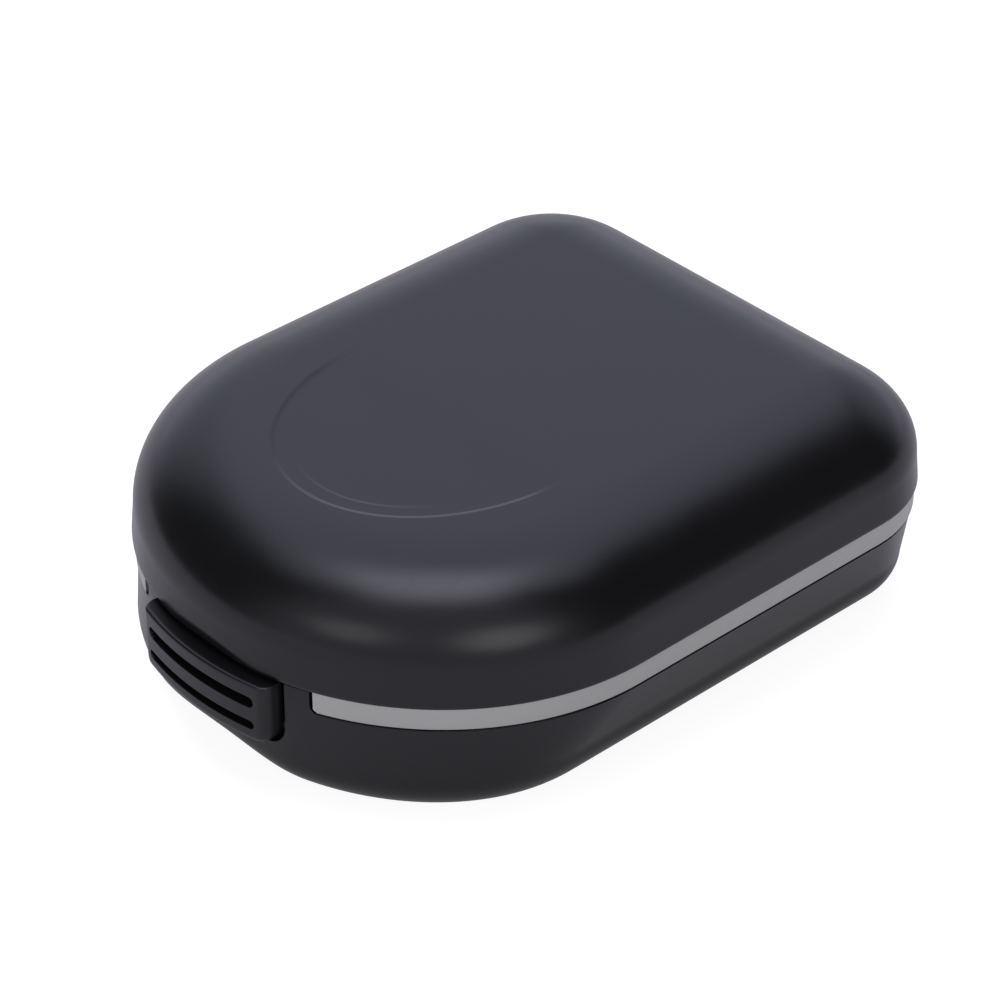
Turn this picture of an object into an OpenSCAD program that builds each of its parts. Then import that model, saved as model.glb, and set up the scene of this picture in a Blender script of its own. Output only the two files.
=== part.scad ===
// Pocket hard case for a pair of hearing aids.
// Plan view is a D: straight hinge edge at the back (+Y), round nose with the latch at the front (-Y).
// Origin on the flat underside, midway between the lid's front and back faces. Z points up, millimetres.

/* [Lid] */
// Width of the lid across its straight sides
lid_w = 68; // [60:1:76]
// Length of the lid from the nose to the hinge edge
lid_l = 83.4; // [76:0.2:92]
// Depth of the half-ellipse that forms the nose
nose_depth = 32; // [28:0.5:36]
// Plan radius of the two back corners
corner_r = 14; // [14:0.5:18]
// Height of the lid's upright wall
lid_wall_h = 3.6; // [3.4:0.1:6]
// Height of the pillow-shaped roof above that wall
roof_h = 9.5; // [8:0.5:12]
// How far the roof's curve runs in from the wall
roof_run = 13.5; // [10:0.5:13.5]
// Inward lean of the upright wall over its height
lid_draft = 0.3; // [0:0.05:0.4]
// Wall thickness of the lid shell
lid_wall = 2; // [1.8:0.1:2.2]
// Depth of the thumb scoop in the lower front edge of the lid
scoop_depth = 1.4; // [0.8:0.1:1.4]
// Height of that scoop
scoop_h = 2.2; // [1.8:0.1:3]

/* [Oval dish in the roof] */
// Half width of the dish
dish_half_w = 16.5; // [12:0.5:19]
// Half length of the dish
dish_half_l = 21.8; // [16:0.2:24]
// Centre of the dish in front of the middle of the lid
dish_ahead = 5.5; // [4:0.5:6]
// Depth of the dish at its front
dish_depth = 0.3; // [0.2:0.05:0.6]
// Depth of the dish at its back
dish_back_depth = 0.05; // [0.05:0.05:0.15]
// Width of the sloping rim at the front
dish_rim = 1.3; // [1:0.1:2]

/* [Grey frame under the lid] */
// Height of the visible band
band_h = 2.8; // [2.4:0.1:4]
// Set-back of the band from the lid's face
band_inset = 0.3; // [0.2:0.1:0.6]
// Thickness of the band, front to inside
band_t = 3; // [2.6:0.1:3.4]
// Height of the flange that plugs into the lid
flange_h = 3; // [2:0.1:3.2]
// Slack between the flange and the lid
flange_gap = 0.3; // [0.25:0.05:0.4]

/* [Base] */
// Height of the base up to the parting line
base_h = 12.1; // [11.6:0.1:16]
// Open gap at the parting line
part_gap = 0.3; // [0.3:0.05:0.6]
// Set-back of the base from the lid's face
base_inset = 0.5; // [0.3:0.1:0.8]
// Wall thickness of the base shell
base_wall = 2; // [1.6:0.1:2.2]
// Floor thickness of the base shell
base_floor = 2; // [1.5:0.1:2.5]
// Height at which the side walls turn into the rounded foot
foot_h = 5; // [4.5:0.1:5.8]
// How far the rounded foot runs in
foot_run = 5.5; // [4.5:0.25:7]
// Lean of the base's sides from the lid's face to the foot
foot_side = 2.8; // [1:0.1:3.4]
// Lean of the base's front
foot_front = 0.4; // [0.3:0.1:0.6]
// Lean of the base's back
foot_back = 1.2; // [0.5:0.1:1.4]
// Depth of the nose at the foot
foot_nose = 25.2; // [24:0.2:28]
// Plan radius of the back corners at the foot
foot_corner_r = 10.2; // [8:0.2:12]
// Depth of the relief in the foot under the latch
foot_relief = 1.2; // [0.6:0.1:1.4]

/* [Hinge] */
// Outer radius of the hinge barrel
knuckle_r = 2; // [1.8:0.1:2.2]
// Diameter of the steel hinge pin
pin_d = 1.5; // [1.2:0.1:1.8]
// Overall length of the barrel
barrel_l = 36; // [28:1:40]
// Number of knuckles, shared in turn by base and lid
knuckles = 5; // [3:2:7]
// Pin axis behind the lid's back face
axis_back = 0.8; // [0.7:0.1:1.2]
// Axial gap between knuckles
knuckle_gap = 0.3; // [0.2:0.05:0.5]

/* [Latch] */
// Half width of the pocket for the thumb piece
pocket_half_w = 10.7; // [10.5:0.1:12]
// Half width of the raised block that carries the pocket
block_half_w = 13.55; // [13:0.05:15]
// Open gap between that block and the ends of the band
block_gap = 0.55; // [0.3:0.05:0.65]
// Radius of the fillet where that block meets the rim of the base
toe_r = 0.9; // [0.8:0.1:1.2]
// Height of the pocket's lower edge
pocket_z = 6.2; // [6:0.1:6.4]
// Corner radius at the foot of the pocket
pocket_corner_r = 2.6; // [1.5:0.1:3.5]
// Open gap on either side of the thumb piece
side_gap = 1.1; // [0.8:0.1:1.2]
// How far the foot of the thumb piece stands proud of the lid's face
thumb_proud = 1.6; // [1.2:0.05:1.8]
// How far its face leans back towards the top
thumb_lean = 0.8; // [0.4:0.1:1]
// Travel of the thumb piece when pressed
travel = 1.2; // [0.8:0.1:1.3]
// Height of the lower grip groove
groove_h = 1; // [0.7:0.1:1.1]
// Height of the upper grip groove
top_groove_h = 1.6; // [1:0.1:1.7]
// Depth of the grip grooves
groove_depth = 1.3; // [1:0.1:1.4]
// Distance between the grip grooves
groove_pitch = 2.6; // [2.4:0.05:3]
// Half length of the grip grooves
groove_half_l = 8.2; // [7:0.1:8.4]
// Half width of the lid's catch tongue
tongue_half_w = 4.5; // [3.5:0.1:4.6]
// Depth of the barb on the tongue
barb = 0.9; // [0.5:0.1:1]
// Clearance between the barb and the hook's nose
nose_gap = 0.15; // [0.12:0.01:0.3]

/* [Foam] */
// Thickness of the soft sheet on the floor
pad_t = 1.5; // [1:0.25:2]
// Thickness of the foam block that holds the aids
foam_t = 8; // [6:0.25:8]
// Slack between the foam block and the shell
foam_gap = 0.6; // [0.5:0.1:1]
// Thickness of the foam in the roof
lid_foam_t = 4.8; // [3:0.2:5.5]
// Width of each pocket for an aid
aid_w = 18; // [14:0.5:20]
// Length of each pocket for an aid
aid_l = 40; // [34:0.5:44]
// Foam left between the two pockets
aid_web = 10; // [7:0.5:12]
// Width of the well for spare batteries
well_w = 44; // [30:1:46]
// Length of the well for spare batteries
well_l = 13; // [10:0.5:14]

/* [Hidden] */
$fn = 48;

// Common clearances
run_gap = 0.3;
bore_gap = 0.05;
seat = 0.1;
press_gap = 0.02;
over = 1;

// Levels
z_part = base_h;
z_band = base_h + part_gap;
z_lid = z_band + band_h;
z_roof = z_lid + lid_wall_h;
z_top = z_roof + roof_h;
y_front = -lid_l / 2;
y_back = lid_l / 2;

// Steps along the plan outline and up the rounded edges
nose_steps = 40;
corner_steps = 8;
edge_steps = 8;
oval_steps = 48;

// Hinge
axis_y = y_back + axis_back;
axis_z = base_h + part_gap / 2;
knuckle_l = (barrel_l - (knuckles - 1) * knuckle_gap) / knuckles;
web_h = knuckle_r;
web_root = 2 * knuckle_r;

// Latch, as depths behind the lid's front face
thumb_back = 0.8;
stop_gap = 0.1;
pocket_floor = thumb_back + travel + stop_gap;
pocket_back_t = 1.3;
pocket_back = pocket_floor + pocket_back_t;
tongue_front = pocket_back + run_gap;
tongue_t = 1.4;
tongue_back = tongue_front + tongue_t;
nose_tip = tongue_back + barb + nose_gap;
nose_l = 0.3;
riser_front = nose_tip + nose_l;
riser_t = 1.5;
riser_back = riser_front + riser_t;
cover_front = riser_back + travel + run_gap;
cover_t = 1;
cover_back = cover_front + cover_t;
// Latch, as heights
block_top = z_lid - 0.35;
thumb_top = z_lid - 0.7;
thumb_edge = z_lid - 1.2;
thumb_bottom = pocket_z + run_gap;
thumb_half_w = pocket_half_w - side_gap;
thumb_corner_r = pocket_corner_r - run_gap;
thumb_round = 2.4;
thumb_foot = base_inset + 0.4;
relief_half_w = block_half_w - 1.5;
groove_mid = (block_top + thumb_bottom) / 2;
shelf_back = tongue_front - travel - run_gap;
shelf_t = 1.2;
stem_half_w = 4;
stem_bottom = thumb_bottom + 0.5;
stem_h = 1.7;
stem_top = stem_bottom + stem_h;
// The hook's flange is flat and the pocket's back is curved, so it stands further off in the middle
hook_standoff = 0.55;
stem_joint = pocket_back + hook_standoff;
hook_flange_half_w = 4.6;
hook_flange_t = 0.8;
window_gap = 0.4;
tongue_bottom = stem_top + 0.5;
barb_h = 1.4;
barb_top = tongue_bottom + barb_h;
catch_gap = 0.2;
nose_bottom = barb_top + catch_gap;
nose_h = 0.4;
nose_top = z_part - run_gap;
bar_half_w = block_half_w + 2;
latch_reach = nose_depth / 3;
rib_t = 1;
rib_x = block_half_w - 2;
cover_half_w = rib_x + rib_t;
cover_bottom = base_floor + catch_gap;
lip_bottom = z_part;
lip_t = 1;

// Springs behind the thumb piece
spring_x = 7;
spring_z = stem_top + 0.9;
coil_r = 1.3;
wire_r = 0.2;
coil_turns = 3.5;
coil_rings = 8;
coil_sides = 6;
cup_wall = 0.5;
cup_r = coil_r + wire_r + run_gap;
seat_r = coil_r + wire_r + seat;
cup_floor = 4.6;
cup_back = 0.9;
cup_end = cup_floor + cup_back;
spring_front = thumb_back + run_gap;
spring_l = cup_floor - spring_front - 2 * press_gap;

// Screws that hold the latch cover
screw_x = 9;
screw_z = base_floor + 3;
screw_slack = 0.15;
screw_r = 0.85;
screw_l = 4;
screw_head_r = 1.7;
screw_head_h = 1.1;
pilot_r = 0.75;
boss_r = 2.1;

// Foam
foam_front = cover_back + screw_head_h + foam_gap;
foam_floor = base_floor + pad_t;
foam_top = foam_floor + foam_t;
aid_x = (aid_web + aid_w) / 2;
pocket_round = 8.5;
well_round = 5;
foam_rail = 4;
foam_bar = 5;
well_back = base_wall + foam_gap + foot_back + foam_rail;
well_mid = y_back - well_back - well_l / 2;
aid_mid = well_mid - well_l / 2 - foam_bar - aid_l / 2;

// Plan outline: half-ellipse nose, straight sides, rounded back corners, clockwise from above
function d_points(half_w, front, back, nose, corner) = concat(
    [for (i = [0 : nose_steps])
        let (t = 180 * i / nose_steps)
        [half_w * cos(t), front + nose - nose * sin(t)]],
    [for (i = [0 : corner_steps])
        let (t = 180 - 90 * i / corner_steps)
        [corner - half_w + corner * cos(t), back - corner + corner * sin(t)]],
    [for (i = [0 : corner_steps])
        let (t = 90 - 90 * i / corner_steps)
        [half_w - corner + corner * cos(t), back - corner + corner * sin(t)]]);

// Outline of the lid, moved inwards by an inset
function lid_ring(inset) = d_points(lid_w / 2 - inset, y_front + inset, y_back - inset,
                                    nose_depth - inset, max(corner_r - inset, 0.1));

// How far the foot stands back under the latch, at a place across the nose
function relief(x) = foot_relief * pow(max(0, 1 - pow(x / relief_half_w, 2)), 2);

// Outline of the base where its walls turn into the foot, moved inwards by an inset
function foot_ring(inset) = [for (p = d_points(lid_w / 2 - foot_side - inset, y_front + foot_front + inset,
                                               y_back - foot_back - inset, foot_nose - inset,
                                               max(foot_corner_r - inset, 0.1)))
    [p[0], p[1] + (p[1] < 0 ? relief(p[0]) : 0)]];

function oval(half_w, half_l, mid) = [for (i = [0 : oval_steps - 1])
    let (t = -360 * i / oval_steps)
    [half_w * cos(t), mid + half_l * sin(t)]];

// Solid through a stack of outlines, lowest first
module loft(rings, heights) {
    n = len(rings[0]);
    m = len(rings);
    points = [for (k = [0 : m - 1]) for (p = rings[k]) [p[0], p[1], heights[k]]];
    sides = [for (k = [0 : m - 2]) for (i = [0 : n - 1])
        let (a = k * n + i, b = k * n + (i + 1) % n)
        each [[a, b, b + n], [a, b + n, a + n]]];
    floor_face = [[for (i = [0 : n - 1]) n - 1 - i]];
    roof_face = [[for (i = [0 : n - 1]) (m - 1) * n + i]];
    polyhedron(points, concat(floor_face, sides, roof_face));
}

// Upright slab of the lid's outline between two heights
module d_slab(inset, low, high) {
    translate([0, 0, low])
        linear_extrude(high - low)
            polygon(lid_ring(inset));
}

// Upright band between two insets
module d_band(outer, inner, low, high) {
    difference() {
        d_slab(outer, low, high);
        d_slab(inner, low - over, high + over);
    }
}

// Box around the middle of the nose, from a depth behind the lid's front face to another
module nose_box(half_w, from, to, low, high) {
    translate([-half_w, y_front + from, low])
        cube([2 * half_w, to - from, high - low]);
}

// Outside of the lid, or its inside when given a wall thickness
module lid_form(wall, low) {
    run = roof_run - wall;
    rise = roof_h - wall;
    levels = concat([[wall, low]], [for (k = [0 : edge_steps])
        let (t = 90 * k / edge_steps)
        [wall + lid_draft + run * (1 - cos(t)), z_roof + rise * sin(t)]]);
    loft([for (v = levels) lid_ring(v[0])], [for (v = levels) v[1]]);
}

// Outside of the base, or its inside when given a wall and a floor thickness
module base_form(wall, floor_t, high) {
    run = foot_run - wall;
    drop = foot_h - floor_t;
    foot = [for (k = [edge_steps : -1 : 0])
        let (t = 90 * k / edge_steps)
        [wall + run * (1 - cos(t)), foot_h - drop * sin(t)]];
    rim = base_inset + wall;
    rings = concat([for (v = foot) foot_ring(v[0])], [lid_ring(rim)], [lid_ring(rim)]);
    heights = concat([for (v = foot) v[1]], [z_part], [high]);
    if (high > z_part) {
        loft(rings, heights);
    } else {
        count = len(rings) - 1;
        loft([for (k = [0 : count - 1]) rings[k]], [for (k = [0 : count - 1]) heights[k]]);
    }
}

function knuckle_x(k) = -barrel_l / 2 + k * (knuckle_l + knuckle_gap);

// One knuckle with the web that joins it to its wall; side is 1 for the lid and -1 for the base
module knuckle(k, side) {
    root = y_back - base_inset - base_wall / 2;
    step = side * part_gap / 2;
    translate([knuckle_x(k), 0, 0])
        rotate([90, 0, 90])
            linear_extrude(knuckle_l) {
                translate([axis_y, axis_z])
                    circle(knuckle_r);
                polygon([[root, axis_z + step], [axis_y, axis_z + step],
                         [axis_y, axis_z + side * web_h], [root, axis_z + side * web_root / 2]]);
            }
}

// Cylinders along the hinge axis: clearance around the other half's knuckles, or the pin's bore
module knuckle_relief(first) {
    for (k = [first : 2 : knuckles - 1])
        translate([knuckle_x(k) - knuckle_gap, axis_y, axis_z])
            rotate([0, 90, 0])
                cylinder(r = knuckle_r + run_gap, h = knuckle_l + 2 * knuckle_gap);
}

module pin_bore(gap) {
    translate([-barrel_l / 2 - over, axis_y, axis_z])
        rotate([0, 90, 0])
            cylinder(r = pin_d / 2 + gap, h = barrel_l + 2 * over);
}

// Pocket outline seen from the front, open at the top, with round lower corners
module pocket_outline(half_w, low, high, corner) {
    translate([-half_w, low + corner])
        square([2 * half_w, high - low - corner]);
    translate([corner - half_w, low])
        square([2 * (half_w - corner), corner + over]);
    for (side = [-1, 1])
        translate([side * (half_w - corner), low + corner])
            circle(corner);
}

// Pocket outline pushed through the nose
module pocket_prism(half_w, low, high, corner, from, to) {
    translate([0, y_front + to, 0])
        rotate([90, 0, 0])
            linear_extrude(to - from)
                pocket_outline(half_w, low, high, corner);
}

// Groove with round ends, seen from the front
module groove_outline(h) {
    square([2 * groove_half_l - h, h], center = true);
    for (side = [-1, 1])
        translate([side * (groove_half_l - h / 2), 0])
            circle(h / 2);
}

// Raised block seen from the front, with a fillet at each foot; a gap gives the room the frame leaves for it
module block_outline(gap, low, high) {
    half = block_half_w + gap;
    translate([-half, low])
        square([2 * half, high - low]);
    for (side = [-1, 1])
        difference() {
            translate([side * (block_half_w + toe_r / 2) - toe_r / 2, low])
                square([toe_r, z_part + toe_r - low]);
            translate([side * (block_half_w + toe_r), z_part + toe_r])
                circle(toe_r - gap);
        }
}

// That outline pushed through the nose
module block_prism(gap, low, high, from, to) {
    translate([0, y_front + to, 0])
        rotate([90, 0, 0])
            linear_extrude(to - from)
                block_outline(gap, low, high);
}

// Cylinder along Y at a height above the underside, from a depth behind the lid's front face
module y_rod(x, z, r, from, to) {
    translate([x, y_front + to, z])
        rotate([90, 0, 0])
            cylinder(r = r, h = to - from);
}

module rounded_well(w, l, r, low, high) {
    translate([0, 0, low])
        linear_extrude(high - low) {
            square([w - 2 * r, l], center = true);
            square([w, l - 2 * r], center = true);
            for (x = [-1, 1], y = [-1, 1])
                translate([x * (w / 2 - r), y * (l / 2 - r)])
                    circle(r);
        }
}

// Oval dish with a sloping rim, over a flat bed that rises from its front to its back
module dish_cut() {
    rim = oval(dish_half_w, dish_half_l, -dish_ahead);
    bed = oval(dish_half_w - dish_rim, dish_half_l - dish_rim, -dish_ahead);
    front = -dish_ahead - dish_half_l;
    back = dish_half_l - dish_ahead;
    intersection() {
        loft([bed, rim, rim], [z_top - dish_depth, z_top, z_top + over]);
        translate([-dish_half_w, 0, z_top])
            rotate([90, 0, 90])
                linear_extrude(2 * dish_half_w)
                    polygon([[front, -dish_depth], [back, -dish_back_depth], [back, over], [front, over]]);
    }
}

// Slanting cut across the nose that leaves the thumb scoop; it runs out through the rim and the lid's face
module scoop_cut() {
    translate([-latch_reach, y_front, z_lid])
        rotate([90, 0, 90])
            linear_extrude(2 * latch_reach)
                polygon([[scoop_depth, -over], [scoop_depth, 0], [0, scoop_h],
                         [-over, scoop_h * (1 + over / scoop_depth)], [-over, -over]]);
}

module lid_shell() {
    color("#2b2c31")
        difference() {
            lid_form(0, z_lid);
            lid_form(lid_wall, z_lid - over);
            dish_cut();
            scoop_cut();
        }
}

// Hooked tongue under the middle of the frame's front bar
module catch_tongue() {
    barb_tip = tongue_back + barb;
    root = z_band + over;
    intersection() {
        d_slab(tongue_front, tongue_bottom, root);
        translate([-tongue_half_w, y_front, 0])
            rotate([90, 0, 90])
                linear_extrude(2 * tongue_half_w)
                    polygon([[0, root], [0, tongue_bottom],
                             [tongue_back, tongue_bottom], [barb_tip, barb_top - barb_h / 3],
                             [barb_tip, barb_top], [tongue_back, barb_top], [tongue_back, root]]);
    }
}

module lid_frame() {
    flange_out = lid_wall + flange_gap;
    inner = band_inset + band_t;
    color("#8f8f91")
        difference() {
            union() {
                difference() {
                    d_band(band_inset, inner, z_band, z_lid);
                    block_prism(block_gap, z_band - over, z_lid, -over, nose_depth);
                    knuckle_relief(0);
                }
                d_band(flange_out, inner, z_lid, z_lid + flange_h);
                intersection() {
                    union() {
                        d_band(tongue_front, tongue_back, z_band, z_lid + flange_h);
                        d_band(inner - seat, tongue_back, z_lid, z_lid + flange_h);
                    }
                    nose_box(bar_half_w, 0, latch_reach, z_band, z_lid + flange_h);
                }
                catch_tongue();
                for (k = [1 : 2 : knuckles - 1])
                    knuckle(k, 1);
            }
            pin_bore(bore_gap);
        }
}

module lid_foam() {
    slack = lid_wall + foam_gap;
    run = roof_run - lid_wall;
    rise = roof_h - lid_wall;
    low = z_top - lid_wall - lid_foam_t;
    start = asin((low - z_roof) / rise);
    steps = [for (k = [0 : edge_steps]) start + (90 - start) * k / edge_steps];
    color("#3a3b40")
        loft([for (t = steps) lid_ring(slack + lid_draft + run * (1 - cos(t)))],
             [for (t = steps) z_roof + rise * sin(t)]);
}

// Raised block, pocket back, spring cups, ribs and screw bosses inside the nose
module latch_housing() {
    intersection() {
        union() {
            d_band(base_inset, pocket_back, z_part - seat, block_top);
            d_band(pocket_floor, pocket_back, foot_h, block_top);
        }
        block_prism(0, foot_h, block_top, 0, latch_reach);
    }
    intersection() {
        base_form(base_wall / 2, base_floor / 2, z_part);
        for (side = [-1, 1]) {
            y_rod(side * spring_x, spring_z, cup_r + cup_wall, pocket_floor, cup_end);
            y_rod(side * screw_x, screw_z, boss_r, 0, cover_front);
            translate([side * (rib_x + rib_t / 2) - rib_t / 2, y_front, 0])
                cube([rib_t, cover_front, nose_top]);
        }
    }
}

module base_shell() {
    color("#2f2f33")
        difference() {
            union() {
                difference() {
                    base_form(0, 0, z_part);
                    base_form(base_wall, base_floor, z_part + over);
                    knuckle_relief(1);
                }
                latch_housing();
                for (k = [0 : 2 : knuckles - 1])
                    knuckle(k, -1);
            }
            pin_bore(press_gap);
            difference() {
                pocket_prism(pocket_half_w, pocket_z, z_lid, pocket_corner_r, -over, latch_reach);
                d_slab(pocket_floor, 0, nose_top);
            }
            d_band(-over, tongue_front - run_gap, block_top, z_lid);
            nose_box(stem_half_w + window_gap, pocket_floor - over, pocket_back + over,
                     stem_bottom - window_gap, nose_top + over);
            for (side = [-1, 1]) {
                y_rod(side * spring_x, spring_z, cup_r, spring_front, cup_floor);
                y_rod(side * screw_x, screw_z, pilot_r, cover_front - screw_l, cover_front + over);
            }
        }
}

module floor_pad() {
    inset = foot_run + foam_gap / 2;
    color("#45464b")
        translate([0, 0, base_floor])
            linear_extrude(pad_t)
                intersection() {
                    polygon(foot_ring(inset));
                    translate([-lid_w / 2, y_front + foam_front])
                        square([lid_w, lid_l]);
                }
}

module base_foam() {
    color("#3a3b40")
        difference() {
            translate([0, 0, foam_floor])
                linear_extrude(foam_t)
                    intersection() {
                        polygon(foot_ring(base_wall + foam_gap));
                        translate([-lid_w / 2, y_front + foam_front])
                            square([lid_w, lid_l]);
                    }
            for (side = [-1, 1])
                translate([side * aid_x, aid_mid, 0])
                    rounded_well(aid_w, aid_l, pocket_round, foam_floor - over, foam_top + over);
            translate([0, well_mid, 0])
                rounded_well(well_w, well_l, well_round, foam_floor - over, foam_top + over);
        }
}

module hinge_pin() {
    color("#b9bcc0")
        translate([-barrel_l / 2, axis_y, axis_z])
            rotate([0, 90, 0])
                cylinder(d = pin_d, h = barrel_l);
}

// Face of the thumb piece: its foot curves back to the base's wall, its top leans back and ends in a ledge
module thumb_face() {
    steps = [for (k = [0 : edge_steps]) 90 * k / edge_steps];
    reach = thumb_proud + thumb_foot;
    rings = concat([for (t = steps) lid_ring(thumb_foot - reach * sin(t))],
                   [lid_ring(thumb_lean - thumb_proud), lid_ring(thumb_back + run_gap)]);
    heights = concat([for (t = steps) thumb_bottom + thumb_round * (1 - cos(t))],
                     [thumb_edge, thumb_top]);
    loft(rings, heights);
}

module latch_button() {
    color("#2b2c31")
        difference() {
            union() {
                intersection() {
                    difference() {
                        thumb_face();
                        d_slab(thumb_back, 0, z_top);
                    }
                    pocket_prism(thumb_half_w, thumb_bottom, thumb_top + over, thumb_corner_r,
                                 -thumb_proud - over, latch_reach);
                }
                intersection() {
                    d_band(thumb_back - seat, shelf_back, thumb_top - shelf_t, thumb_top - seat);
                    nose_box(groove_half_l, 0, latch_reach, thumb_top - shelf_t, thumb_top);
                }
                nose_box(stem_half_w, 0, stem_joint, stem_bottom, stem_top);
            }
            for (groove = [[-1, groove_h], [1, top_groove_h]])
                difference() {
                    translate([0, y_front + latch_reach, groove_mid + groove[0] * groove_pitch / 2])
                        rotate([90, 0, 0])
                            linear_extrude(2 * latch_reach)
                                groove_outline(groove[1]);
                    d_slab(groove_depth - thumb_proud, 0, z_top);
                }
            for (side = [-1, 1])
                y_rod(side * spring_x, spring_z, seat_r, spring_front, latch_reach);
        }
}

module latch_hook() {
    color("#3d3e42") {
        nose_box(stem_half_w, stem_joint, riser_back, stem_bottom, stem_top);
        nose_box(hook_flange_half_w, stem_joint, stem_joint + hook_flange_t,
                 stem_bottom - window_gap, stem_top);
        translate([-stem_half_w, y_front, 0])
            rotate([90, 0, 90])
                linear_extrude(2 * stem_half_w)
                    polygon([[riser_front, stem_bottom], [riser_back, stem_bottom], [riser_back, nose_top],
                             [riser_front, nose_top], [nose_tip, nose_bottom + nose_h],
                             [nose_tip, nose_bottom], [riser_front, nose_bottom]]);
    }
}

// Centre line of one coil, from its front end to its back end
coil_points = [for (i = [0 : coil_turns * coil_rings])
    let (t = 360 * i / coil_rings)
    [coil_r * cos(t), wire_r + (spring_l - 2 * wire_r) * i / (coil_turns * coil_rings), coil_r * sin(t)]];

coil_gap = min([for (i = [0 : len(coil_points) - 1], j = [i + coil_rings / 2 : 1 : len(coil_points) - 1])
    norm(coil_points[j] - coil_points[i])]) - 2 * wire_r;
echo(least_gap_between_spring_turns = coil_gap);

// One unbroken wire: a six-sided ring at each point of the centre line
module coil() {
    n = len(coil_points);
    rings = [for (i = [0 : n - 1]) for (j = [0 : coil_sides - 1])
        let (t = 360 * i / coil_rings, s = 360 * j / coil_sides, p = coil_points[i])
        [p[0] + wire_r * cos(s) * cos(t), p[1] + wire_r * sin(s), p[2] + wire_r * cos(s) * sin(t)]];
    sides = [for (i = [0 : n - 2]) for (j = [0 : coil_sides - 1])
        let (a = i * coil_sides + j, b = i * coil_sides + (j + 1) % coil_sides)
        each [[a, a + coil_sides, b + coil_sides], [a, b + coil_sides, b]]];
    ends = [[for (j = [0 : coil_sides - 1]) j],
            [for (j = [0 : coil_sides - 1]) n * coil_sides - 1 - j]];
    polyhedron(rings, concat(ends, sides));
}

module latch_springs() {
    color("#c4c6c9")
        for (side = [-1, 1])
            translate([side * spring_x, y_front + spring_front + press_gap, spring_z])
                coil();
}

module latch_cover() {
    color("#333439")
        difference() {
            union() {
                nose_box(cover_half_w, cover_front, cover_back, cover_bottom, lip_bottom + lip_t);
                intersection() {
                    d_slab(tongue_back + run_gap, lip_bottom, lip_bottom + lip_t);
                    nose_box(cover_half_w, 0, cover_back, lip_bottom, lip_bottom + lip_t);
                }
            }
            nose_box(tongue_half_w + run_gap, 0, tongue_back + barb + run_gap, lip_bottom - over, z_top);
            for (side = [-1, 1])
                y_rod(side * screw_x, screw_z, screw_r + screw_slack, cover_front - over, cover_back + over);
        }
}

module cover_screws() {
    color("#9a9da2")
        for (side = [-1, 1]) {
            y_rod(side * screw_x, screw_z, screw_r, cover_back - screw_l, cover_back);
            y_rod(side * screw_x, screw_z, screw_head_r, cover_back, cover_back + screw_head_h);
        }
}

lid_shell();
lid_frame();
lid_foam();
base_shell();
floor_pad();
base_foam();
hinge_pin();
latch_button();
latch_hook();
latch_springs();
latch_cover();
cover_screws();
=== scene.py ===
# %% [markdown]
# # A pocket hard case for hearing aids
# The real case is two black mouldings with a pillow-shaped lid, a grey frame that shows as a thin band
# between them, and a thumb latch at the round nose. The CAD frame gives every place and joint. This lesson
# puts smooth skins, soft foam and moulded finishes on it, and lights it as a small studio would.

# %% Load the frame
import math

import bmesh
import bpy
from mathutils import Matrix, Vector


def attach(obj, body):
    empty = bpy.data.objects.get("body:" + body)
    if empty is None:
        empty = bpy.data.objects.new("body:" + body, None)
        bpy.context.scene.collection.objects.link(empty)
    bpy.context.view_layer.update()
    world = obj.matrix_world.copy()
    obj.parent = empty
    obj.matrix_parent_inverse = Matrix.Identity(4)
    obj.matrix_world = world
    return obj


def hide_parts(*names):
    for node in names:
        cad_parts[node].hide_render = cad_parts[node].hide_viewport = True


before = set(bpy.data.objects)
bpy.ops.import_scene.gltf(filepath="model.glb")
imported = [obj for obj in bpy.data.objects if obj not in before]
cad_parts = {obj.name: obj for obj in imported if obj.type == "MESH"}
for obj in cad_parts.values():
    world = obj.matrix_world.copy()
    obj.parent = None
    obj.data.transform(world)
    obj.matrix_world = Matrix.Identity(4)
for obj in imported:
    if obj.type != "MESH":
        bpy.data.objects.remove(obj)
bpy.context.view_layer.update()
MM = 0.001

# %% [markdown]
# ## Plan and heights
# Seen from above, shells, frame and foam all follow one D: a half-ellipse for the nose, straight sides and
# two round corners at the hinge edge. An offset curve would lose its matching points, so the plan is worked
# out from its arcs at any inset, always with as many points, and rings join without a twist. Sizes are in
# millimetres and repeat the CAD's own, so that a skin lies where its solid lies. Only thumb piece, oval dish
# and thumb scoop were read again later, from the shading, and differ by less than about a millimetre.

# %% Sizes of the case
HALF_W, Y_FRONT, Y_BACK = 34.0, -41.7, 41.7
NOSE, CORNER, LEAST_CORNER = 32.0, 14.0, 0.1
Z_PART, Z_BAND, Z_LID, Z_ROOF, Z_TOP = 12.1, 12.4, 15.2, 18.8, 28.3
print("lid:", 2 * HALF_W, "by", Y_BACK - Y_FRONT, "mm, top at", Z_TOP, "mm")

# %% Outline of the plan
NOSE_STEPS, SIDE_STEPS, CORNER_STEPS, BACK_STEPS = 120, 14, 20, 18


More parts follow.
